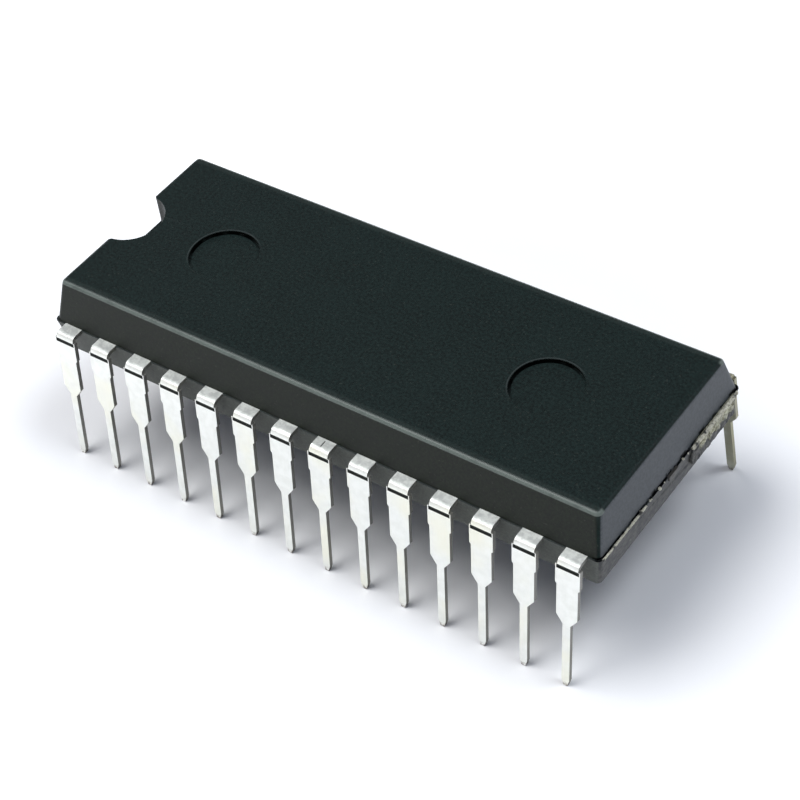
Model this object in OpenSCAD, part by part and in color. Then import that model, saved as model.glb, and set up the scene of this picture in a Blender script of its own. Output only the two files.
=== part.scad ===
// Moulded plastic dual in-line package with two rows of bent leads.
// Millimetres. Z is up, X runs along the package with the notched end at -X.
// The origin is under the middle of the body, in the plane of the lead tips.
// Lead 1 is at -X, -Y; the numbers run along -Y and come back along +Y.

/* [Lead rows] */
// Number of leads, both rows together
lead_count = 28; // [24:2:32]
// Distance between neighbouring leads of one row
pitch = 2.54; // [2.4:0.01:2.8]
// Distance between the rows, at mid thickness of the leads
row_spacing = 15.24; // [15:0.01:16]
// Thickness of the lead frame's sheet
lead_thickness = 0.25; // [0.2:0.01:0.32]

/* [Lead outline] */
// Width of a lead where it leaves the body
shoulder_width = 1.2; // [0.9:0.02:1.4]
// Radius inside the bend
bend_radius = 0.12; // [0.08:0.02:0.3]
// Outward lean of the legs from the vertical, in degrees
splay = 7; // [0:0.5:10]
// Width across the two cut stubs of the dam bar
stub_width = 1.42; // [1.25:0.01:1.6]
// Length of the stubs, down from the bend
stub_length = 1.25; // [0.6:0.05:1.8]
// Width of the leg below the stubs
leg_width = 1.24; // [1:0.02:1.4]
// Height of the taper between leg and pin
taper_height = 0.55; // [0.3:0.05:0.8]
// Width of the pin
pin_width = 0.46; // [0.4:0.01:0.6]
// Height of the pin, from the taper to the tip
pin_height = 4.3; // [3:0.05:5]
// Width of the flat tip
tip_width = 0.24; // [0.15:0.01:0.35]
// Height of the pointed end of the pin
tip_height = 0.4; // [0.2:0.05:0.8]
// Depth of the forming mark across the leg, just under the bend
crease_depth = 0.035; // [0.01:0.005:0.05]
// Height of the forming mark
crease_height = 0.22; // [0.06:0.01:0.3]
// Distance of the forming mark below the bend
crease_drop = 0.03; // [0.02:0.01:0.2]
// Plain edge left at each side of the forming mark
crease_inset = 0.12; // [0.05:0.01:0.3]

/* [Body] */
// Gap between the body's side, at the parting line, and the legs beside it
side_gap = 0.645; // [0.56:0.005:0.9]
// Body beyond the centre of each end lead
end_margin = 1.29; // [1.1:0.01:1.6]
// Height of the half above the parting line
upper_height = 2.5; // [1.8:0.05:2.6]
// Height of the half below the parting line
lower_height = 2.3; // [1.6:0.05:2.5]
// Gap between the underside of the body and the taper of the leads
standoff = 1.4; // [0.4:0.05:1.7]
// Draft of the upper half along the lead rows, in degrees
side_draft = 15; // [8:0.5:20]
// Draft of the upper half at the ends, in degrees
end_draft = 7; // [4:0.5:12]
// Draft of the lower half all round, in degrees
lower_draft = 9; // [5:0.5:14]
// Radius round the rim of the top
edge_radius = 0.28; // [0.1:0.02:0.28]
// Radius round the rim of the underside
lower_radius = 0.15; // [0.08:0.01:0.3]
// Radius of the upright corners at the parting line
corner_radius = 0.32; // [0.3:0.02:0.8]
// How far the lower half stands out past the upper one
parting_step = 0.1; // [0.02:0.01:0.12]

/* [Notch and ejector marks] */
// Radius of the half-round notch in the end
notch_radius = 2; // [1.2:0.05:2.5]
// Rounding of the notch's two rims
notch_rim = 0.45; // [0.2:0.05:0.7]
// Resin left between the lead frame and the floor of the notch
notch_floor = 0.25; // [0.1:0.05:0.6]
// Radius of the ejector marks on the top
mark_radius = 2; // [1:0.05:2.5]
// Depth of the ejector marks
mark_depth = 0.14; // [0.05:0.01:0.3]
// Distance from each end of the body to the centre of its mark
mark_inset = 7.2; // [5.5:0.1:9]

/* [Resin gate] */
// Length of the broken gate along the end of the body
gate_length = 4.3; // [2:0.1:4.6]
// Distance from the middle of the end to the middle of the gate
gate_offset = 4.2; // [2.5:0.1:4.2]
// Height of the broken gate, down from the parting line
gate_height = 1.4; // [0.4:0.05:1.6]
// How far the broken gate stands out at its teeth
gate_depth = 0.22; // [0.1:0.01:0.35]
// Number of teeth along the break
gate_teeth = 14; // [6:1:24]
// Number of layers down the break
gate_layers = 3; // [1:1:4]

/* [Lead frame inside] */
// Length of the die pad
pad_length = 8; // [6:0.1:9]
// Width of the die pad
pad_width = 6; // [5:0.1:7]
// Drop of the die pad below the leads
pad_drop = 0.2; // [0.05:0.01:0.4]
// Gap between the die pad and the ends of the leads
pad_gap = 0.4; // [0.2:0.02:0.6]
// Width of the bars that tie the die pad to the ends of the body
tie_width = 0.9; // [0.5:0.05:1.4]
// Length of the sloping step in each tie bar
tie_slope = 0.6; // [0.3:0.05:1]
// How far the cut end of each tie bar stands out of the body
tie_stub = 0.05; // [0.02:0.01:0.15]
// Gap between each tie bar and the leads beside it
tie_gap = 0.3; // [0.2:0.02:0.5]
// Straight run of each lead inside the body
neck_length = 1.1; // [0.8:0.05:1.6]
// Width of a lead at the end of that run
neck_width = 0.9; // [0.6:0.05:1]
// Width of a lead at its inner end
finger_width = 0.5; // [0.35:0.01:0.6]

/* [Die and wires] */
// Length of the die
die_length = 5.4; // [4:0.1:5.6]
// Width of the die
die_width = 4.2; // [3:0.1:4.4]
// Thickness of the die
die_thickness = 0.36; // [0.25:0.01:0.45]
// Thickness of the layer that bonds the die to its pad
attach_thickness = 0.04; // [0.02:0.01:0.08]
// How far that layer spreads past the die
attach_spread = 0.15; // [0.05:0.01:0.3]
// Distance of the bond pads from the edge of the die
bond_inset = 0.2; // [0.12:0.01:0.4]
// Distance of the wires' outer ends from the ends of the leads
stitch_inset = 0.2; // [0.12:0.01:0.35]
// Thickness of a bond wire
wire_thickness = 0.05; // [0.04:0.005:0.08]
// Height of the wires' loops above the die
loop_height = 0.25; // [0.15:0.01:0.4]

/* [Hidden] */
row_count = lead_count / 2;
function lead_name(n) = str("lead_", n < 10 ? "0" : "", n);

RESIN = [0.16, 0.18, 0.17];
TINNED = [0.82, 0.83, 0.8];
COPPER = [0.72, 0.5, 0.36];
EPOXY = [0.75, 0.75, 0.7];
SILICON = [0.35, 0.37, 0.42];
GOLD = [0.9, 0.72, 0.3];

// Facets of the rounded shells, and of every true round
SHELL_FN = 32;
ROUND_FN = 64;
// Steps round each rim of the notch and round its half circle
RIM_STEPS = 6;
NOTCH_STEPS = 36;
// Steps round the bend of a lead, and its lap along the flat part
BEND_STEPS = 8;
LAP = 0.1;
// Height of the thin plates that shape the shells
PLATE = 0.01;
// Cutting shapes run this far past what they cut
PAST = 1;

body_length = (row_count - 1) * pitch + 2 * end_margin;
body_width = row_spacing - lead_thickness - 2 * side_gap;
parting_z = pin_height + taper_height + standoff + lower_height;
top_z = parting_z + upper_height;
underside_z = parting_z - lower_height;
frame_z = parting_z - lead_thickness;
pad_z = frame_z - pad_drop;
attach_z = pad_z + lead_thickness;
die_z = attach_z + attach_thickness;
die_top_z = die_z + die_thickness;

// Middle of the bend, and the leg's length along its slope down to z = 0
bend_outer = bend_radius + lead_thickness;
bend_y = row_spacing / 2 + lead_thickness / 2 - bend_outer;
bend_z = frame_z - bend_radius;
leg_top_z = bend_z + bend_outer * sin(splay);
leg_slope = 1 / cos(splay);
leg_length = (leg_top_z - lead_thickness * sin(splay)) * leg_slope;

// Half of a closed rectangle's outline, walked from the middle of its -X side
// round its -Y side to the middle of its +X side
function half_outline(length, width) = length + width;
function outline_point(length, width, s) =
    s < width / 2 ? [-length / 2, -s]
    : s < width / 2 + length ? [s - width / 2 - length / 2, -width / 2]
    : [length / 2, s - length - width];

// The leads' inner ends stand on a rectangle round the die pad, spaced evenly
// between the two tie bars. Lead k's place is a share of the half outline.
ring_length = pad_length + 2 * pad_gap;
ring_width = pad_width + 2 * pad_gap;
tie_share = (tie_width / 2 + tie_gap + finger_width / 2) / half_outline(ring_length, ring_width);
function outline_share(k) = tie_share + (1 - 2 * tie_share) * k / (row_count - 1);
function outline_at(length, width, k, shift = 0) =
    outline_point(length, width, outline_share(k) * half_outline(length, width) + shift);

function lead_x(k) = (k - (row_count - 1) / 2) * pitch;

// A rounded block that leans in towards its far plate
module drafted_half(length, width, height, side_angle, end_angle, rim) {
    far_length = length - 2 * height * tan(end_angle);
    far_width = width - 2 * height * tan(side_angle);
    hull() {
        for (x = [-1, 1], y = [-1, 1]) {
            translate([x * (length / 2 - corner_radius), y * (width / 2 - corner_radius), 0])
                cylinder(h = PLATE, r = corner_radius, $fn = SHELL_FN);
            translate([x * (far_length / 2 - corner_radius), y * (far_width / 2 - corner_radius), 0])
                rounded_post(height, rim);
        }
    }
}

// One corner of the far plate: an upright post with a rounded rim
module rounded_post(height, rim) {
    translate([0, 0, height - rim])
        rotate_extrude($fn = SHELL_FN)
            rim_section(rim);
}

module rim_section(rim) {
    square([corner_radius - rim, rim]);
    translate([corner_radius - rim, 0])
        intersection() {
            circle(r = rim, $fn = SHELL_FN);
            square(rim);
        }
}

module upper_half() {
    translate([0, 0, parting_z])
        drafted_half(body_length, body_width, upper_height, side_draft, end_draft, edge_radius);
}

module lower_half() {
    translate([0, 0, parting_z])
        mirror([0, 0, 1])
            drafted_half(body_length + 2 * parting_step, body_width + 2 * parting_step,
                         lower_height, lower_draft, lower_draft, lower_radius);
}

// Points along an arc, its last end left out
function arc(centre, radius, from, to, steps) =
    [for (i = [0:steps - 1]) let (a = from + (to - from) * i / steps)
        centre + radius * [cos(a), sin(a)]];

// Outline of the notch: a half circle whose two rims are rounded off.
// Each rim leaves the end face at rim_y and runs into the half circle at rim_angle.
module notch_outline() {
    rim_y = sqrt(pow(notch_radius + notch_rim, 2) - pow(notch_rim, 2));
    rim_angle = atan2(rim_y, notch_rim);
    polygon(concat(
        [[0, rim_y], [-PAST, rim_y], [-PAST, -rim_y]],
        arc([notch_rim, -rim_y], notch_rim, 180, 180 - rim_angle, RIM_STEPS),
        arc([0, 0], notch_radius, -rim_angle, rim_angle, NOTCH_STEPS),
        arc([notch_rim, rim_y], notch_rim, 180 + rim_angle, 180, RIM_STEPS)));
}

module notch() {
    end_x = body_length / 2 - upper_height * tan(end_draft);
    translate([-end_x, 0, parting_z + notch_floor])
        linear_extrude(upper_height)
            notch_outline();
}

module ejector_marks() {
    for (side = [-1, 1])
        translate([side * (body_length / 2 - mark_inset), 0, top_z - mark_depth])
            cylinder(h = mark_depth + PAST, r = mark_radius, $fn = ROUND_FN);
}

// Uneven tooth heights that stay the same each time, less in each layer down
function tooth(i, layer) =
    gate_depth * (1 - layer / gate_layers) * (0.6 + 0.4 * sin(i * 137.5 + layer * 80));

// Broken resin gate on the end of the lower half, ragged layer by layer
module broken_gate() {
    step = gate_length / gate_teeth;
    layer_height = gate_height / gate_layers;
    end_x = body_length / 2 + parting_step;
    for (layer = [0:gate_layers - 1])
        translate([0, gate_offset - gate_length / 2, parting_z - (layer + 1) * layer_height])
            linear_extrude(layer_height)
                polygon(concat(
                    [[end_x - PAST, gate_length], [end_x - PAST, 0], [end_x, 0]],
                    [for (i = [1:gate_teeth - 1]) [end_x + tooth(i, layer), i * step]],
                    [[end_x, gate_length]]));
}

module body() {
    color(RESIN)
        difference() {
            union() {
                upper_half();
                lower_half();
                broken_gate();
            }
            notch();
            ejector_marks();
            for (n = [1:lead_count])
                placed_lead(n) lead_flat(n);
            die_pad();
            die_attach();
            die();
            bond_wires();
        }
}

// Leads of the far row are those of the near row, turned half round
function row_index(n) = (n - 1) % row_count;
module placed_lead(n) {
    rotate([0, 0, n > row_count ? 180 : 0])
        children();
}

// Flat part of lead n, from the start of its bend to its end beside the die pad
module lead_flat(n) {
    k = row_index(n);
    x = lead_x(k);
    neck_y = body_width / 2 - neck_length;
    translate([0, 0, frame_z])
        linear_extrude(lead_thickness)
            polygon([
                [x - shoulder_width / 2, -bend_y],
                [x + shoulder_width / 2, -bend_y],
                [x + shoulder_width / 2, -body_width / 2 + shoulder_width / 4],
                [x + neck_width / 2, -neck_y],
                outline_at(ring_length, ring_width, k, finger_width / 2),
                outline_at(ring_length, ring_width, k, -finger_width / 2),
                [x - neck_width / 2, -neck_y],
                [x - shoulder_width / 2, -body_width / 2 + shoulder_width / 4]]);
}

// Side view of a lead outside the body: a lap along its flat part, the bend and
// the leg. X is the distance from the middle of the package.
module lead_profile() {
    bend = [bend_y, bend_z];
    lean = [cos(splay), sin(splay)];
    down = leg_length * [sin(splay), -cos(splay)];
    polygon(concat(
        [[bend_y, frame_z], [bend_y - LAP, frame_z], [bend_y - LAP, parting_z]],
        arc(bend, bend_outer, 90, splay, BEND_STEPS),
        [bend + bend_outer * lean, bend + bend_outer * lean + down, bend + bend_radius * lean + down],
        arc(bend, bend_radius, splay, 90, BEND_STEPS)));
}

// Half of the front view of a lead, down from above the bend to its tip
function front_side(side) = [
    [side * shoulder_width / 2, PAST],
    [side * shoulder_width / 2, 0],
    [side * stub_width / 2, 0],
    [side * stub_width / 2, -stub_length],
    [side * leg_width / 2, -stub_length - (stub_width - leg_width) / 2],
    [side * leg_width / 2, (pin_height + taper_height) * leg_slope - leg_length],
    [side * pin_width / 2, pin_height * leg_slope - leg_length],
    [side * pin_width / 2, tip_height * leg_slope - leg_length],
    [side * tip_width / 2, -leg_length]];

function backwards(points) = [for (i = [len(points) - 1:-1:0]) points[i]];

// Stands its children on the outer face of the leg at x, from its upper edge down
module on_leg(x) {
    translate([x, -bend_y - bend_outer * cos(splay), leg_top_z])
        rotate([-splay, 0, 0])
            children();
}

// Mark of the forming die across the outer face, just under the bend
module crease() {
    translate([-stub_width / 2 + crease_inset, -PAST, -crease_drop - crease_height])
        cube([stub_width - 2 * crease_inset, PAST + crease_depth, crease_height]);
}

// Bend, leg and pin: the side view cut to the widths of the front view
module bend_and_leg(x) {
    difference() {
        intersection() {
            translate([x - PAST, 0, 0])
                mirror([0, 1, 0])
                    rotate([90, 0, 90])
                        linear_extrude(2 * PAST)
                            lead_profile();
            on_leg(x)
                rotate([90, 0, 0])
                    translate([0, 0, -PAST])
                        linear_extrude(2 * PAST)
                            polygon(concat(front_side(1), backwards(front_side(-1))));
        }
        on_leg(x)
            crease();
    }
}

module lead(n) {
    x = lead_x(row_index(n));
    color(TINNED)
        placed_lead(n) {
            lead_flat(n);
            bend_and_leg(x);
        }
}

// Side view of one tie bar: in along the leads' level, down, and into the pad
module tie_bar() {
    pad_x = pad_length / 2;
    root_x = pad_x - tie_width / 2;
    slope_x = pad_x + tie_slope;
    end_x = body_length / 2 + parting_step + tie_stub;
    rotate([90, 0, 0])
        translate([0, 0, -tie_width / 2])
            linear_extrude(tie_width)
                polygon([
                    [root_x, pad_z], [pad_x, pad_z], [slope_x, frame_z], [end_x, frame_z],
                    [end_x, parting_z], [slope_x, parting_z],
                    [pad_x, attach_z], [root_x, attach_z]]);
}

module die_pad() {
    color(COPPER) {
        translate([-pad_length / 2, -pad_width / 2, pad_z])
            cube([pad_length, pad_width, lead_thickness]);
        tie_bar();
        mirror([1, 0, 0])
            tie_bar();
    }
}

module die_attach() {
    size = [die_length + 2 * attach_spread, die_width + 2 * attach_spread, attach_thickness];
    color(EPOXY)
        translate([-size[0] / 2, -size[1] / 2, attach_z])
            cube(size);
}

module die() {
    color(SILICON)
        translate([-die_length / 2, -die_width / 2, die_z])
            cube([die_length, die_width, die_thickness]);
}

// One wire between two points of the plan, bent up from the die and down to its lead
module bond_wire(start, end) {
    run = norm(end - start);
    rise = loop_height;
    fall = parting_z - die_top_z;
    w = wire_thickness;
    knee = 0.35 * run;
    translate([start[0], start[1], die_top_z])
        rotate([0, 0, atan2(end[1] - start[1], end[0] - start[0])])
            rotate([90, 0, 0])
                translate([0, 0, -w / 2])
                    linear_extrude(w)
                        polygon([
                            [-w / 2, 0], [-w / 2, rise + w], [knee, rise + w],
                            [run, fall + w], [run + w, fall + w], [run + w, fall],
                            [run - w, fall], [knee, rise], [w / 2, rise], [w / 2, 0]]);
}

module bond_wires() {
    stitch_length = ring_length + 2 * stitch_inset;
    stitch_width = ring_width + 2 * stitch_inset;
    color(GOLD)
        for (n = [1:lead_count])
            placed_lead(n)
                bond_wire(
                    outline_at(die_length - 2 * bond_inset, die_width - 2 * bond_inset, row_index(n)),
                    outline_at(stitch_length, stitch_width, row_index(n)));
}

body();
for (n = [1:lead_count])
    lead(n);
die_pad();
die_attach();
die();
bond_wires();
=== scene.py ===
# %% [markdown]
# # A plastic dual in-line package
#
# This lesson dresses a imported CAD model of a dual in-line package: a dark moulded
# body with two rows of bent, tinned leads. The CAD says where everything is and how
# big it is. Here the edges get their small radii, the broken resin at the end gets
# its ragged shape, and every surface gets a finish.

# %% Load the model as a fixed frame
import math
from contextlib import contextmanager

import bmesh
import bpy
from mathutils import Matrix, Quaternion, Vector


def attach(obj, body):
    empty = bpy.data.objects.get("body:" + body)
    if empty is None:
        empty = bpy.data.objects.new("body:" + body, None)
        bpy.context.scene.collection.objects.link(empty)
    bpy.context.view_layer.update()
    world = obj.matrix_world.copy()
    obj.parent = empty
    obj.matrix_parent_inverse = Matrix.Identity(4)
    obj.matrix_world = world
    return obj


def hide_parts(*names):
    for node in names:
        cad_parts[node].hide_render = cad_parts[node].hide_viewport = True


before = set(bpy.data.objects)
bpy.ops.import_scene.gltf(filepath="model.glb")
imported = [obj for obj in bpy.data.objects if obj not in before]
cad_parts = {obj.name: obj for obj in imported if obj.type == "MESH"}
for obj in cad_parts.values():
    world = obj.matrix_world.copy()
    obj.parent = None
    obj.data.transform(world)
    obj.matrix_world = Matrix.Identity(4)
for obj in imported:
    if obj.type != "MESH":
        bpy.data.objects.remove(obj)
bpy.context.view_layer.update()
MM = 0.001

# %% [markdown]
# ## The camera
#
# The picture was taken from above the near right corner with a longish lens, and the
# camera was held a little tilted, so the near leads lean. Looking along a direction
# and then rolling about it keeps those two things apart, which is easier to tune
# than three Euler angles.

# %% Place the camera
AZIMUTH = math.radians(41.2)
ELEVATION = math.radians(44.8)
ROLL = math.radians(-8.5)
DISTANCE = 116 * MM
AIM = Vector((1.22, -0.66, 6.0)) * MM
FOCAL_PIXELS = 2133
IMAGE_PIXELS = 800
SENSOR = 36

backwards = Vector((math.sin(AZIMUTH) * math.cos(ELEVATION),
                    -math.cos(AZIMUTH) * math.cos(ELEVATION),
                    math.sin(ELEVATION)))
bpy.ops.object.camera_add(location=AIM + DISTANCE * backwards)
camera = bpy.context.object
camera.name = "camera"
camera.rotation_mode = "QUATERNION"
camera.rotation_quaternion = (-backwards).to_track_quat("-Z", "Y") @ Quaternion((0, 0, 1), ROLL)
camera.data.sensor_width = SENSOR
camera.data.lens = FOCAL_PIXELS / IMAGE_PIXELS * SENSOR
camera.data.clip_start = 1 * MM
bpy.context.scene.camera = camera
print("lens", round(camera.data.lens, 1), "mm")

# %% [markdown]
# ## A small kit for node materials
#
# Every finish below is made from the same few ingredients: noise at a size given in
# millimetres, a mask that is one inside a band of heights, and a mix of two colours.
# A small class that adds a node and wires its inputs in one line keeps each recipe
# short enough to read.

# %% The material kit
class Finish:
    """A node material, with its pattern read from the piece's own coordinates."""

    def __init__(self, name):
        self.material = bpy.data.materials.new(name)
        self.material.use_nodes = True
        self.tree = self.material.node_tree
        self.shader = self.tree.nodes["Principled BSDF"]
        self.place = self.add("TexCoord").outputs["Object"]

    def add(self, kind, inputs=(), **settings):
        """Adds a node, sets it up and wires or fills its inputs."""
        node = self.tree.nodes.new("ShaderNode" + kind)
        for name, value in settings.items():
            setattr(node, name, value)
        for key, value in dict(inputs).items():
            self.wire(value, node.inputs[key])
        return node

    def wire(self, value, socket):
        """Links one socket to another, or fills it with a plain value."""
        if isinstance(value, bpy.types.NodeSocket):
            self.tree.links.new(value, socket)
        else:
            socket.default_value = value

    def noise(self, size_mm, detail=3, roughness=0.5, stretch=(1, 1, 1)):
        """Cloudy noise whose blotches are about size_mm across."""
        mapping = self.add("Mapping", {"Vector": self.place, "Scale": stretch})
        return self.add("TexNoise", {
            "Vector": mapping.outputs["Vector"], "Scale": 1 / (size_mm * MM),
            "Detail": detail, "Roughness": roughness}).outputs["Fac"]

    def range(self, value, low, high, out_low=0.0, out_high=1.0):
        """Maps low..high smoothly onto out_low..out_high, and holds both ends."""
        return self.add("MapRange", {
            "Value": value, "From Min": low, "From Max": high,
            "To Min": out_low, "To Max": out_high},
            interpolation_type="SMOOTHSTEP").outputs["Result"]

    def past(self, value, start_mm, width_mm):
        """Nought before a place, one width_mm further on."""
        return self.range(value, start_mm * MM, (start_mm + width_mm) * MM)

    def short_of(self, value, start_mm, width_mm):
        """One before a place, nought width_mm further on."""
        return self.range(value, start_mm * MM, (start_mm + width_mm) * MM, 1.0, 0.0)

    def math(self, operation, first, second):
        """One step of arithmetic on two numbers or sockets."""
        return self.add("Math", {0: first, 1: second}, operation=operation).outputs[0]

    def mix(self, factor, first, second):
        """A mix of two colours: the first one where the factor is nought."""
        node = self.add("Mix", {"Factor": factor}, data_type="RGBA")
        self.wire(first, node.inputs[6])
        self.wire(second, node.inputs[7])
        return node.outputs[2]

    def mottled(self, pattern, first, second, low=0.35, high=0.65):
        """Two colours, mixed by a pattern of noise."""
        return self.mix(self.range(pattern, low, high), first, second)

    def mix_value(self, factor, first, second):
        """A plain number in place of a colour: first where the factor is nought."""
        node = self.add("Mix", {0: factor}, data_type="FLOAT")
        self.wire(first, node.inputs[2])
        self.wire(second, node.inputs[3])
        return node.outputs[0]

    def outside(self, mask):
        """One where the mask is nought."""
        return self.mix_value(mask, 1.0, 0.0)

    def axis(self, name):
        """One of the piece's coordinates, in metres."""
        return self.add("SeparateXYZ", {0: self.place}).outputs[name]

    def off_middle(self, name):
        """How far a point is from the middle along an axis, either way."""
        return self.math("ABSOLUTE", self.axis(name), 0.0)

    def facing(self, name, least=0.75):
        """One where the surface faces along an axis, either way."""
        normal = self.add("TexCoord").outputs["Normal"]
        turned = self.add("SeparateXYZ", {0: normal}).outputs[name]
        return self.range(self.math("ABSOLUTE", turned, 0.0), least, least + 0.15)

    def both(self, *masks):
        """One where every mask is one."""
        result = masks[0]
        for mask in masks[1:]:
            result = self.math("MULTIPLY", result, mask)
        return result

    def band(self, name, low_mm, high_mm, soft_mm):
        """One between two places along an axis, nought outside them."""
        value = self.axis(name)
        rise = self.past(value, low_mm - soft_mm, 2 * soft_mm)
        fall = self.short_of(value, high_mm - soft_mm, 2 * soft_mm)
        return self.math("MULTIPLY", rise, fall)

    def bump(self, height, depth_mm, below=None):
        """Raises the surface by a height from nought to one, depth_mm at most."""
        inputs = {"Height": height, "Distance": depth_mm * MM, "Strength": 1.0}
        if below is not None:
            inputs["Normal"] = below
        return self.add("Bump", inputs).outputs["Normal"]

    def set(self, **inputs):
        """Sets or wires the shader's own sockets, an underscore standing for a space."""
        for name, value in inputs.items():
            self.wire(value, self.shader.inputs[name.replace("_", " ")])


def put_on(piece, finish):
    """Makes a finish the piece's only material."""
    piece.data.materials.clear()
    piece.data.materials.append(finish.material)


# %% [markdown]
# ## Moulding compound
#
# The body is epoxy filled with fine silica. It is nearly black with a green cast,
# quite matt, and finely grained by the mould, with a few pale filler grains. The
# long sides are a little browner than the top. The ends are painted paler, as
# painted light from the right. The lower half is painted paler and greyer, as
# painted light from the white floor, so the colour changes at the parting line.
# The long rims of the top are rubbed smooth by the magazine that the parts slide
# in, and painted pale along the edge as a painted highlight. Each of these is a
# mask made from the piece's own coordinates and some noise.

# %% Colours of the upper half
PARTING_Z = 8.55
TOP_Z = 11.05
END_X = 17.8
PAST_MARKS_X = 14.8

resin = Finish("moulding_compound")
grain = resin.noise(0.16, detail=4, roughness=0.6)
clouds = resin.noise(2.5, detail=4)
far_x = resin.off_middle("X")
far_y = resin.off_middle("Y")

cloudy = resin.mottled(clouds, (0.0006, 0.0045, 0.0036, 1), (0.0014, 0.0065, 0.0055, 1))
top_colour = resin.mix(resin.range(grain, 0.35, 0.65, 0.0, 0.7),
                       cloudy, (0.0035, 0.0150, 0.0130, 1))
side_colour = resin.mottled(grain, (0.0005, 0.0022, 0.0002, 1), (0.0060, 0.0105, 0.0045, 1))
# The ends are painted paler: painted light from the right.
painted_light_end_colour = resin.mottled(grain, (0.058, 0.066, 0.074, 1), (0.084, 0.094, 0.102, 1))
past_marks = resin.past(far_x, PAST_MARKS_X, 0.2)
sided = resin.mix(resin.facing("Y", 0.8), top_colour, side_colour)
upper_colour = resin.mix(resin.both(resin.facing("X"), past_marks), sided, painted_light_end_colour)
print("upper half:", len(resin.tree.nodes), "nodes")

# %% Painted rim highlight, and the lower half
RIM_LOW_Z, RIM_HIGH_Z = TOP_Z - 0.19, TOP_Z - 0.02
RIM_Y = 5.6
CORNER_X = 17.2
ROW_Y = 6.45

# The rims are painted pale along the rounded edge: a painted highlight. They are also smoother.
rim = resin.both(resin.band("Z", RIM_LOW_Z, RIM_HIGH_Z, 0.03),
                 resin.past(far_y, RIM_Y, 0.2),
                 resin.range(resin.noise(1.2), 0.2, 0.5, 0.6, 1.0))
upper_with_rim_highlight = resin.mix(rim, upper_colour, (0.135, 0.160, 0.143, 1))
# Painted shade along the rounded upright corners.
corner_shade = resin.both(resin.past(far_x, CORNER_X, 0.1),
                    resin.outside(resin.facing("X", 0.8)),
                    resin.outside(resin.facing("Y", 0.82)),
                    resin.outside(resin.facing("Z", 0.3)))
# The lower half and the strips between the leads are painted paler: painted light from the
# white floor below.
floor_lit_lower_colour = resin.mottled(resin.noise(0.35, detail=5, roughness=0.65),
                             (0.040, 0.042, 0.044, 1), (0.100, 0.100, 0.092, 1), 0.38, 0.62)
below_parting = resin.short_of(resin.axis("Z"), PARTING_Z - 0.03, 0.04)
along_rows = resin.both(resin.past(far_y, ROW_Y, 0.1), resin.facing("Y"))
floor_lit_row_colour = resin.mottled(grain, (0.075, 0.083, 0.072, 1), (0.115, 0.125, 0.110, 1))
floor_lit_row_side = resin.mix(along_rows, floor_lit_lower_colour, floor_lit_row_colour)
resin_colour = resin.mix(below_parting, upper_with_rim_highlight, floor_lit_row_side)
specks = resin.range(resin.noise(0.11, detail=2), 0.64, 0.74)
speckled = resin.mix(resin.both(specks, resin.mix_value(below_parting, 0.08, 0.8)),
                     resin_colour, (0.22, 0.22, 0.18, 1))
print("with the lower half:", len(resin.tree.nodes), "nodes")

# %% [markdown]
# The ejector pins leave round sinks in the top. Painted shade lies against the
# wall of each, darkest at its far left, and a thin painted highlight runs round
# the outside of it.

# %% Painted shade and highlight at the ejector marks
MARK_X = 10.6
MARK_RADIUS = 2
FAR_LEFT = (-0.75, 0.66, 0)

side_of_middle = resin.math("SIGN", resin.axis("X"), 0.0)
nearer_mark = resin.math("MULTIPLY", side_of_middle, MARK_X * MM)
from_mark = resin.add("CombineXYZ", {
    0: resin.math("SUBTRACT", resin.axis("X"), nearer_mark),
    1: resin.axis("Y")}).outputs[0]
radius = resin.add("VectorMath", {0: from_mark}, operation="LENGTH").outputs["Value"]
away = resin.add("VectorMath", {0: from_mark, 1: FAR_LEFT},
                 operation="DOT_PRODUCT").outputs["Value"]


def ring(inner_mm, outer_mm, soft_mm):
    """One between two radii round the nearer ejector mark, on its far left side."""
    return resin.both(
        resin.past(radius, inner_mm - soft_mm, 2 * soft_mm),
        resin.short_of(radius, outer_mm - soft_mm, 2 * soft_mm),
        resin.past(away, -0.4, 1.6),
        resin.range(resin.noise(0.7), 0.25, 0.5, 0.5, 1.0),
        resin.past(resin.axis("Z"), TOP_Z - 0.3, 0.05))


# Painted shade inside each mark, and a painted highlight round it.
mark_shade = ring(MARK_RADIUS - 0.15, MARK_RADIUS + 0.015, 0.03)
mark_highlight = resin.math("MULTIPLY", ring(MARK_RADIUS + 0.04, MARK_RADIUS + 0.11, 0.02), 0.7)
shaded_marks = resin.mix(mark_shade, speckled, (0.0004, 0.0008, 0.0008, 1))
with_mark_highlight = resin.mix(mark_highlight, shaded_marks, (0.04, 0.05, 0.048, 1))
print("with the marks:", len(resin.tree.nodes), "nodes")

# %% [markdown]
# At the end, the two halves of the mould let some resin through. The parting line
# there, with its chipped borders, is painted dark as shade in a crack, and where
# the gate broke off the resin is tan, most of all near the line. This painted
# shade, and that in the ejector marks and at the corners, is a black base colour
# with full metallic, for it leaves no gloss.

# %% Painted shade in the parting line, and the broken gate
GATE_LOW_Y, GATE_HIGH_Y = 2.05, 6.35
GATE_LOW_Z = 7.15
CHIPS_FROM_Y = -2.5

at_end = resin.past(resin.axis("X"), END_X - 0.5, 0.2)
ragged = resin.range(resin.noise(0.4, detail=4, roughness=0.7), 0.40, 0.50)
crack = resin.both(resin.band("Z", PARTING_Z - 0.02, PARTING_Z + 0.10, 0.03), ragged)
chips = resin.both(resin.band("Z", PARTING_Z - 0.02, PARTING_Z + 0.22, 0.06),
                   resin.range(resin.noise(0.8, detail=3, roughness=0.6), 0.52, 0.57),
                   resin.past(resin.axis("Y"), CHIPS_FROM_Y, 1))
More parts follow.
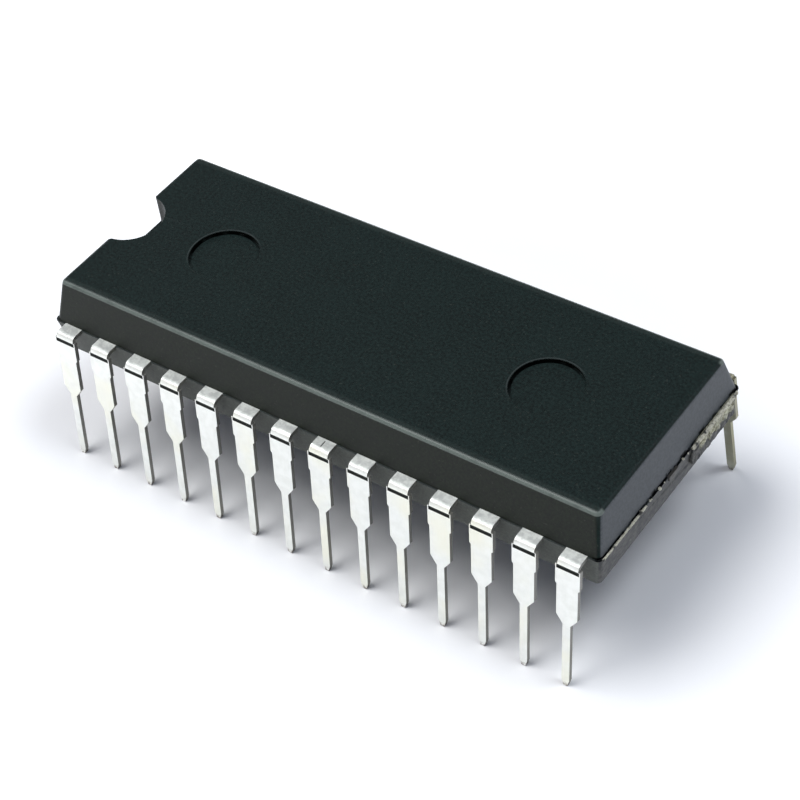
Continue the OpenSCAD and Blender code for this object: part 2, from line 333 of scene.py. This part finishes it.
# Painted shade along the crack and chips of the parting line.
seam_shade = resin.both(resin.math("MAXIMUM", crack, chips), at_end)
seam_shaded = resin.mix(seam_shade, with_mark_highlight, (0.0015, 0.0015, 0.0020, 1))
gate_reach = resin.both(
    resin.band("Y", GATE_LOW_Y + 0.2, GATE_HIGH_Y + 0.3, 0.8),
    resin.band("Z", GATE_LOW_Z + 0.4, PARTING_Z + 0.5, 0.5))
torn = resin.math("ADD", gate_reach, resin.noise(0.5, detail=5, roughness=0.7))
gate_area = resin.both(at_end, resin.range(torn, 1.12, 1.38),
                       resin.short_of(resin.axis("Z"), PARTING_Z - 0.01, 0.04))
gate_tan = resin.mottled(resin.noise(0.2, detail=4),
                         (0.22, 0.21, 0.14, 1), (0.56, 0.56, 0.43, 1))
# Painted shade in the marks and at the corners takes the gloss off.
mark_and_corner_shade = resin.math("MAXIMUM", mark_shade, resin.math("MULTIPLY", corner_shade, 0.6))
dull = resin.math("MAXIMUM", mark_and_corner_shade, resin.mix_value(gate_area, seam_shade, 0.0))
resin.set(Base_Color=resin.mix(gate_area, seam_shaded, gate_tan),
          Metallic=dull,
          Roughness=resin.mix_value(rim, resin.range(grain, 0.3, 0.7, 0.43, 0.52), 0.33),
          Specular_IOR_Level=0.27,
          Normal=resin.bump(grain, 0.004, resin.bump(resin.noise(0.6), 0.006)))
print("body finish:", len(resin.tree.nodes), "nodes")

# %% [markdown]
# The flash that squeezed out between the mould halves is a thin, bright skin of the
# same resin, without most of its black pigment.

# %% Finish of the flash
skin = Finish("resin_flash")
skin_grain = skin.noise(0.12, detail=4, roughness=0.7)
skin_colour = skin.mottled(skin_grain, (0.26, 0.245, 0.18, 1), (0.66, 0.64, 0.52, 1), 0.3, 0.6)
stained = skin.mottled(skin.noise(0.5), skin_colour, (0.05, 0.05, 0.045, 1), 0.56, 0.66)
skin.set(Base_Color=stained, Roughness=skin.range(skin_grain, 0.3, 0.7, 0.45, 0.6),
         Specular_IOR_Level=0.35, Normal=skin.bump(skin_grain, 0.01))
print("flash finish:", len(skin.tree.nodes), "nodes")

# %% [markdown]
# ## Tinned leads
#
# The leads are a copper alloy under dull tin plate. The flat shoulders are scuffed
# and painted a little darker as painted shade, and the legs carry faint draw lines
# along their length. The sheared flanks are painted darker, as painted shade. The
# groove that the forming die pressed across each leg is painted dark as painted
# shade, and the tips are darker towards the bottom. The far lead beside the broken
# gate is painted darker as painted shade from the body and yellower with a stain,
# and one shoulder of the near row has a scratch.

# %% Finish of the leads
SHOULDER_Z = 8.55
LEG_TOP_Z = 8.225
STAIN_X, STAIN_Y = 14.5, 5

tin = Finish("tin_plate")
mottle = tin.noise(0.5, detail=3)
lines = tin.noise(0.12, detail=3, stretch=(1, 1, 0.06))
plate = tin.mottled(mottle, (0.83, 0.84, 0.80, 1), (0.89, 0.90, 0.865, 1), 0.3, 0.7)
warm = tin.mottled(tin.noise(3.0, detail=2), plate, (0.88, 0.875, 0.77, 1), 0.45, 0.7)
on_shoulder = tin.both(tin.facing("Z"), tin.past(tin.axis("Z"), SHOULDER_Z - 0.1, 0.05))
# The shoulders are scuffed, and painted darker as painted shade.
scuffed_and_shaded = tin.mottled(tin.noise(0.3, detail=4), (0.58, 0.60, 0.57, 1), (0.77, 0.79, 0.75, 1))
shoulders = tin.mix(on_shoulder, warm, scuffed_and_shaded)
# The flanks and the tops of the stubs are painted darker: painted shade.
stub_tops = tin.both(tin.facing("Z"), tin.band("Z", LEG_TOP_Z - 0.06, LEG_TOP_Z + 0.03, 0.01))
flank_shade = tin.math("MULTIPLY", tin.math("MAXIMUM", tin.facing("X"), stub_tops), 0.8)
flank_shaded = tin.mix(flank_shade, shoulders, (0.15, 0.145, 0.13, 1))
# The far lead is painted darker as painted shade from the body, and yellower with a stain.
far_shade_and_stain = tin.both(tin.past(tin.axis("X"), STAIN_X, 1), tin.past(tin.axis("Y"), STAIN_Y, 1),
                 tin.range(tin.noise(1.5), 0.25, 0.55, 0.4, 0.9))
plate_with_far_shade = tin.mix(far_shade_and_stain, flank_shaded, (0.36, 0.35, 0.24, 1))
print("lead finish so far:", len(tin.tree.nodes), "nodes")

# %% Painted shade in the grooves, darker tips and a scratch
HALF_PITCH = 1.27
LEG_FACE_Y = 7.65
GROOVE_LOW, GROOVE_HIGH = 7.955, 8.2
GROOVE_HALF = 0.66
TIP_HIGH = 0.35
SCRATCH_X, SCRATCH_Y = (1.20, 1.26), (-7.42, -6.98)

outer_face = tin.past(tin.off_middle("Y"), LEG_FACE_Y - 0.05, 0.07)
from_gap = tin.math("PINGPONG", tin.axis("X"), HALF_PITCH * MM)
in_groove = tin.past(from_gap, HALF_PITCH - GROOVE_HALF - 0.01, 0.03)
# The groove across each leg is painted dark: painted shade.
groove_shade = tin.both(tin.band("Z", GROOVE_LOW, GROOVE_HIGH, 0.015), outer_face, in_groove)
groove_shaded = tin.mix(groove_shade, plate_with_far_shade, (0.025, 0.028, 0.025, 1))
# The tips are darker towards the bottom.
darker_tip = tin.both(tin.short_of(tin.axis("Z"), 0.0, TIP_HIGH),
                    tin.range(tin.noise(0.15), 0.35, 0.6))
tipped = tin.mix(darker_tip, groove_shaded, (0.22, 0.19, 0.16, 1))
scratch = tin.both(tin.band("X", *SCRATCH_X, 0.012), tin.band("Y", *SCRATCH_Y, 0.03),
                   tin.facing("Z"))
scratched = tin.mix(scratch, tipped, (0.02, 0.02, 0.02, 1))
tin.set(Base_Color=scratched, Metallic=1.0,
        Roughness=tin.range(lines, 0.3, 0.7, 0.48, 0.58),
        Normal=tin.bump(lines, 0.002, tin.bump(mottle, 0.002)))
print("lead finish:", len(tin.tree.nodes), "nodes")

# %% [markdown]
# ## Tools for editing a piece
#
# Edit-mode operators act on whatever is selected, so each job starts with one piece
# active and nothing selected in it. The CAD nodes come in as loose triangles. A copy
# of one is merged, and its flat triangles are joined to whole faces, before its
# edges can be picked and bevelled.

# %% Editing helpers
SHARP_ANGLE = math.radians(35)


def select_only(piece):
    """Makes a piece the active one, and the only one selected."""
    bpy.ops.object.select_all(action="DESELECT")
    piece.select_set(True)
    bpy.context.view_layer.objects.active = piece


@contextmanager
def editing(piece):
    """Edit mode on one piece, with nothing selected in its mesh."""
    select_only(piece)
    bpy.ops.object.mode_set(mode="EDIT")
    bpy.ops.mesh.select_all(action="DESELECT")
    yield bmesh.from_edit_mesh(piece.data)
    bpy.ops.object.mode_set(mode="OBJECT")


def merged_copy(node, name):
    """A copy of a CAD node with its triangles joined into whole faces."""
    piece = bpy.data.objects.new(name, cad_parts[node].data.copy())
    bpy.context.scene.collection.objects.link(piece)
    with editing(piece):
        bpy.ops.mesh.customdata_custom_splitnormals_clear()
        bpy.ops.mesh.select_all(action="SELECT")
        bpy.ops.mesh.remove_doubles(threshold=0.0005 * MM)
        bpy.ops.mesh.dissolve_limited(angle_limit=math.radians(0.5))
    return piece


def apply_modifier(piece, kind, **settings):
    """Adds a modifier, sets it up and applies it."""
    select_only(piece)
    modifier = piece.modifiers.new(kind.lower(), kind)
    for name, value in settings.items():
        setattr(modifier, name, value)
    bpy.ops.object.modifier_apply(modifier=modifier.name)


def smooth(piece, degrees=32):
    """Smooth shading that stays crisp at sharper edges, led by the larger faces."""
    select_only(piece)
    bpy.ops.object.shade_smooth_by_angle(angle=math.radians(degrees))
    apply_modifier(piece, "WEIGHTED_NORMAL", keep_sharp=True)


def middle(edge):
    """The middle of an edge, in millimetres."""
    return (edge.verts[0].co + edge.verts[1].co) / 2 / MM


def bevel_edges(piece, test, width_mm, segments=2):
    """Bevels the sharp edges whose middle passes a test, and counts them."""
    with editing(piece) as mesh:
        for edge in mesh.edges:
            sharp = len(edge.link_faces) == 2 and edge.calc_face_angle(0) > SHARP_ANGLE
            edge.select_set(sharp and test(middle(edge)))
        count = sum(edge.select for edge in mesh.edges)
        bmesh.update_edit_mesh(piece.data)
        bpy.ops.mesh.bevel(offset=width_mm * MM, segments=segments, affect="EDGES",
                           clamp_overlap=True)
    return count


# %% [markdown]
# ## The body
#
# A moulded part has no razor edges: the notch, the ejector marks and the parting
# step all end in small radii that catch a thin line of light. The CAD node has the
# right shape, so the body is a copy of it with just those edges rounded, and with
# the stump of the gate broken up. The pockets for the lead frame inside stay as
# they are.

# %% Which parts of the body to work on
MARK_REACH = MARK_RADIUS + 0.2
NOTCH_X, NOTCH_REACH = -15, 2.6
STEP_X, STEP_Y = 17.88, 6.93
LOWER_END_X, LOWER_END_SLOPE = 17.905, 0.158


def on_marks(point):
    """Whether a point is on the border of an ejector mark."""
    return (point.z > TOP_Z - 0.2 and abs(abs(point.x) - MARK_X) < MARK_REACH
            and abs(point.y) < MARK_REACH)


def on_notch(point):
    """Whether a point is on the border of the notch."""
    return point.x < NOTCH_X and abs(point.y) < NOTCH_REACH and point.z > PARTING_Z + 0.2


def on_parting_step(point):
    """Whether a point is on the outer edge of the step at the parting line."""
    return abs(point.z - PARTING_Z) < 0.01 and (abs(point.y) > STEP_Y or abs(point.x) > STEP_X)


def in_gate(face):
    """Whether a face belongs to the stump of the broken gate."""
    centre = face.calc_center_median() / MM
    end_face_x = LOWER_END_X + LOWER_END_SLOPE * (centre.z - PARTING_Z)
    return (centre.x > end_face_x and centre.z < PARTING_Z + 0.01
            and GATE_LOW_Y - 0.05 < centre.y < GATE_HIGH_Y + 0.05)


# %% Round the body's edges and roughen the gate
body = merged_copy("body", "package_body")
rounded = [bevel_edges(body, on_marks, 0.035), bevel_edges(body, on_notch, 0.06),
           bevel_edges(body, on_parting_step, 0.025)]
with editing(body) as mesh:
    for face in mesh.faces:
        face.select_set(in_gate(face))
    gate_faces = sum(face.select for face in mesh.faces)
    bmesh.update_edit_mesh(body.data)
    bpy.ops.mesh.quads_convert_to_tris()
    bpy.ops.mesh.subdivide(number_cuts=2)
    bpy.ops.transform.translate(value=(-0.05 * MM, 0, 0))
    bpy.ops.transform.vertex_random(offset=0.045 * MM, uniform=0.3, normal=0.2, seed=4)
print("faces of the gate before it was roughened:", gate_faces)
smooth(body)
put_on(body, resin)
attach(body, "root")
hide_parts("body")
print("body edges rounded at marks, notch, parting step:", rounded,
      "faces:", len(body.data.polygons))

# %% [markdown]
# ## Flash and crumbs at the end
#
# Above the broken gate a ragged skin of flash stands on the parting ledge, with a
# thin gap behind it, and a finer one runs to the near corner. Each starts as a grid
# as long as the flash. It is thickened, and its points are scattered until both
# borders are torn. The crumbs are small balls, scattered harder.

# %% Make a torn strip of flash
def flash(name, low, high, steps, scatter, seed):
    """A torn strip between two corners given in millimetres."""
    low, high = Vector(low) * MM, Vector(high) * MM
    size = high - low
    bpy.ops.object.select_all(action="DESELECT")
    bpy.ops.mesh.primitive_grid_add(x_subdivisions=2, y_subdivisions=steps, size=1)
    piece = bpy.context.object
    piece.name = name
    with editing(piece):
        bpy.ops.mesh.select_all(action="SELECT")
        bpy.ops.transform.resize(value=(size.x, size.y, 1))
        bpy.ops.transform.translate(value=(low + high) / 2)
        bpy.ops.transform.vertex_random(offset=scatter * MM, uniform=0.2, normal=0.0, seed=seed)
    apply_modifier(piece, "SOLIDIFY", thickness=size.z, offset=0.0)
    apply_modifier(piece, "SUBSURF", levels=1, render_levels=1)
    with editing(piece):
        bpy.ops.mesh.select_all(action="SELECT")
        bpy.ops.transform.vertex_random(offset=0.25 * scatter * MM, uniform=0.4, normal=0.0,
                                        seed=seed + 1)
    smooth(piece, 60)
    put_on(piece, skin)
    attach(piece, "root")
    return piece


gate_flash = flash("gate_flash", (17.88, 1.8, 8.46), (18.06, 6.5, 8.66), 44, 0.055, 11)
corner_flash = flash("corner_flash", (17.85, -6.75, 8.49), (17.97, -2.6, 8.60), 50, 0.03, 23)
print("flash:", len(gate_flash.data.polygons), len(corner_flash.data.polygons), "faces")

# %% [markdown]
# Each crumb is given by its place along Y, its radius, both in millimetres, and how
# far it sits above the parting line, in radii.

# %% Scatter crumbs of resin along the parting line
CRUMB_X = 17.9
CRUMBS = [(-3.4, 0.05, 0.3), (-3.1, 0.095, 0.2), (-2.95, 0.05, -1.2),
          (-2.25, 0.06, 0.6), (-2.1, 0.04, -0.4), (-1.3, 0.085, 0.1),
          (-0.85, 0.04, 0.8), (1.0, 0.07, 0.3), (1.5, 0.05, -0.6)]
crumb_pieces = []
for number, (along, size, lift) in enumerate(CRUMBS):
    bpy.ops.object.select_all(action="DESELECT")
    bpy.ops.mesh.primitive_ico_sphere_add(subdivisions=2, radius=size * MM)
    crumb = bpy.context.object
    with editing(crumb):
        bpy.ops.mesh.select_all(action="SELECT")
        bpy.ops.transform.vertex_random(offset=0.35 * size * MM, uniform=0.2, normal=0.3,
                                        seed=number)
        place = Vector((CRUMB_X, along, PARTING_Z + lift * size))
        bpy.ops.transform.translate(value=place * MM)
    crumb_pieces.append(crumb)
select_only(crumb_pieces[0])
for crumb in crumb_pieces:
    crumb.select_set(True)
bpy.ops.object.join()
crumbs = bpy.context.object
crumbs.name = "resin_crumbs"
smooth(crumbs, 50)
put_on(crumbs, skin)
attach(crumbs, "root")
print("crumbs:", len(CRUMBS), "in one piece")

# %% [markdown]
# ## The leads
#
# The leads are blanked from sheet, so their edges are slightly rolled over by the
# punch and by the plating. Each keeps its own inner finger, so each is a copy of its
# own node, with every sharp edge given a hair of radius.

# %% Dress the leads
EDGE_ROLL = 0.022
leads = []
for node in sorted(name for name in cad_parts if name.startswith("lead_")):
    lead = merged_copy(node, "tinned_" + node)
    apply_modifier(lead, "BEVEL", width=EDGE_ROLL * MM, segments=2, limit_method="ANGLE",
                   angle_limit=SHARP_ANGLE, harden_normals=False)
    smooth(lead)
    put_on(lead, tin)
    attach(lead, "root")
    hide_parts(node)
    leads.append(lead)
print("leads:", len(leads), "faces each about", len(leads[0].data.polygons))

# %% [markdown]
# ## Inside the body
#
# The die pad, its bond layer, the die and the bond wires are sealed in the resin.
# Only the sheared ends of the tie bars show, in the two end faces. Their shapes are
# right as they come, so they only get finishes.

# %% Finishes of the sealed pieces
copper = Finish("bare_copper")
copper_grain = copper.noise(0.3, detail=4)
bright_copper = copper.mottled(copper_grain, (0.45, 0.2, 0.1, 1), (0.7, 0.36, 0.2, 1), 0.3, 0.7)
cut_end = copper.past(copper.off_middle("X"), END_X - 0.3, 0.2)
copper.set(Base_Color=copper.mix(cut_end, bright_copper, (0.05, 0.046, 0.040, 1)),
           Metallic=copper.range(cut_end, 0.0, 1.0, 1.0, 0.2),
           Roughness=copper.range(copper_grain, 0.3, 0.7, 0.3, 0.5),
           Normal=copper.bump(copper_grain, 0.004))

epoxy = Finish("silver_epoxy")
flakes = epoxy.noise(0.05, detail=3)
epoxy.set(Base_Color=epoxy.mix(flakes, (0.35, 0.35, 0.33, 1), (0.75, 0.75, 0.7, 1)),
          Metallic=0.6, Roughness=0.5, Normal=epoxy.bump(flakes, 0.004))

silicon = Finish("silicon")
blocks = silicon.add("TexVoronoi", {"Vector": silicon.place, "Scale": 1 / (0.45 * MM)},
                     distance="CHEBYCHEV").outputs["Color"]
shade = silicon.add("SeparateColor", {0: blocks}).outputs[0]
silicon.set(Base_Color=silicon.mix(shade, (0.05, 0.06, 0.09, 1), (0.2, 0.2, 0.24, 1)),
            Metallic=0.8, Roughness=0.15)

gold = Finish("gold_wire")
gold.set(Base_Color=gold.mix(gold.noise(0.1), (0.8, 0.55, 0.18, 1), (0.95, 0.72, 0.3, 1)),
         Metallic=1.0, Roughness=0.25)

SEALED = {"die_pad": copper, "die_attach": epoxy, "die": silicon, "bond_wires": gold}
for node, finish in SEALED.items():
    put_on(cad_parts[node], finish)
print("sealed pieces finished:", len(SEALED))

# %% [markdown]
# ## Floor, world and lamps
#
# The package stands on white paper. Paper takes the soft shadow. What the camera
# sees of it away from the package is lifted to white by a little emission that only
# camera, glossy and transmission rays meet, so nothing is lit by it.

# %% Floor
FLOOR_SIZE = 3
FLOOR_LIFT = 0.45
LIFT_FROM, LIFT_TO = 18, 38

paper = Finish("white_paper")
paper_colour = paper.mix(paper.noise(6, detail=2), (0.93, 0.94, 0.95, 1), (0.95, 0.95, 0.95, 1))
paper.set(Base_Color=paper_colour, Roughness=0.9, Specular_IOR_Level=0.2)
rays = paper.add("LightPath").outputs
mirrored_or_through = paper.math("MAXIMUM", rays["Is Glossy Ray"], rays["Is Transmission Ray"])
seen = paper.math("MAXIMUM", rays["Is Camera Ray"], mirrored_or_through)
distance = paper.add("VectorMath", {0: paper.place}, operation="LENGTH").outputs["Value"]
glow = paper.range(distance, LIFT_FROM * MM, LIFT_TO * MM, 0.0, FLOOR_LIFT)
emission = paper.add("Emission", {"Color": (0.95, 0.96, 1.0, 1),
                                  "Strength": paper.math("MULTIPLY", seen, glow)})
surface = paper.add("AddShader", {0: paper.shader.outputs[0], 1: emission.outputs[0]})
paper.wire(surface.outputs[0], paper.tree.nodes["Material Output"].inputs["Surface"])

bpy.ops.mesh.primitive_plane_add(size=FLOOR_SIZE, location=(0, 0, 0))
floor = bpy.context.object
floor.name = "paper_floor"
put_on(floor, paper)
print("floor:", FLOOR_SIZE, "m of paper")

# %% [markdown]
# The world is a broad soft light overhead, a little towards the near left, and dim
# low down, so the floor under the body falls dark between the leads. The bends of
# the leads mirror what stands round the paper, a pale backdrop. It is given to
# camera and glossy rays alone, so it shows in the metal and lights nothing.

# %% World
OVERHEAD = (-0.1, -0.08, 0.99)
SOFT_LIGHT_FROM = 0.8

world = bpy.data.worlds.new("studio")
bpy.context.scene.world = world
world.use_nodes = True
sky = world.node_tree


def sky_node(kind, **settings):
    """Adds a node to the world and sets it up."""
    node = sky.nodes.new("ShaderNode" + kind)
    for name, value in settings.items():
        setattr(node, name, value)
    return node


def sky_range(value, low, high):
    """Nought at low and one at high, smoothly between."""
    node = sky_node("MapRange", interpolation_type="SMOOTHSTEP")
    node.inputs["From Min"].default_value = low
    node.inputs["From Max"].default_value = high
    sky.links.new(value, node.inputs["Value"])
    return node.outputs["Result"]


def sky_mix(factor, first, second):
    """A mix of two colours, where the first may be a socket."""
    node = sky_node("Mix", data_type="RGBA")
    sky.links.new(factor, node.inputs["Factor"])
    if isinstance(first, bpy.types.NodeSocket):
        sky.links.new(first, node.inputs[6])
    else:
        node.inputs[6].default_value = first
    node.inputs[7].default_value = second
    return node.outputs[2]


direction = sky_node("TexCoord").outputs["Generated"]
towards = sky_node("VectorMath", operation="DOT_PRODUCT")
towards.inputs[1].default_value = OVERHEAD
sky.links.new(direction, towards.inputs[0])
light = sky_mix(sky_range(towards.outputs["Value"], SOFT_LIGHT_FROM, 1.0),
                (0.034, 0.041, 0.072, 1), (0.70, 0.73, 0.82, 1))
print("world: soft light overhead, along", OVERHEAD)

# %% The backdrop that the metal mirrors
BACKDROP_TOP, BACKDROP_FULL = 0.5, 0.2

height = sky_node("SeparateXYZ")
sky.links.new(direction, height.inputs[0])
low_down = sky_range(height.outputs["Z"], BACKDROP_TOP, BACKDROP_FULL)
sky_rays = sky_node("LightPath").outputs
shown = sky_node("Math", operation="MAXIMUM")
sky.links.new(sky_rays["Is Camera Ray"], shown.inputs[0])
sky.links.new(sky_rays["Is Glossy Ray"], shown.inputs[1])
mirrored = sky_node("Math", operation="MULTIPLY")
sky.links.new(low_down, mirrored.inputs[0])
sky.links.new(shown.outputs[0], mirrored.inputs[1])
background = sky_mix(mirrored.outputs[0], light, (0.95, 0.95, 0.95, 1))
sky.links.new(background, sky.nodes["Background"].inputs["Color"])
print("backdrop: pale up to", round(math.degrees(math.asin(BACKDROP_TOP))),
      "degrees, for camera and glossy rays")

# %% Lamps
def soft_lamp(name, place_mm, size_mm, watts, colour=(1, 1, 1)):
    """A square area lamp that looks at the middle of the body."""
    place = Vector(place_mm) * MM
    bpy.ops.object.light_add(type="AREA", location=place)
    lamp = bpy.context.object
    lamp.name = name
    lamp.data.shape = "SQUARE"
    lamp.data.size = size_mm * MM
    lamp.data.energy = watts
    lamp.data.color = colour
    lamp.rotation_mode = "QUATERNION"
    lamp.rotation_quaternion = (AIM - place).to_track_quat("-Z", "Y")
    return lamp


key = soft_lamp("key_lamp", (-175, -125, 460), 320, 1.9)
end = soft_lamp("end_lamp", (200, 90, 440), 180, 0.93, (0.89, 0.935, 1.0))
print("lamps:", key.name, end.name)

# %% Plain colour handling
bpy.context.scene.view_settings.view_transform = "Standard"
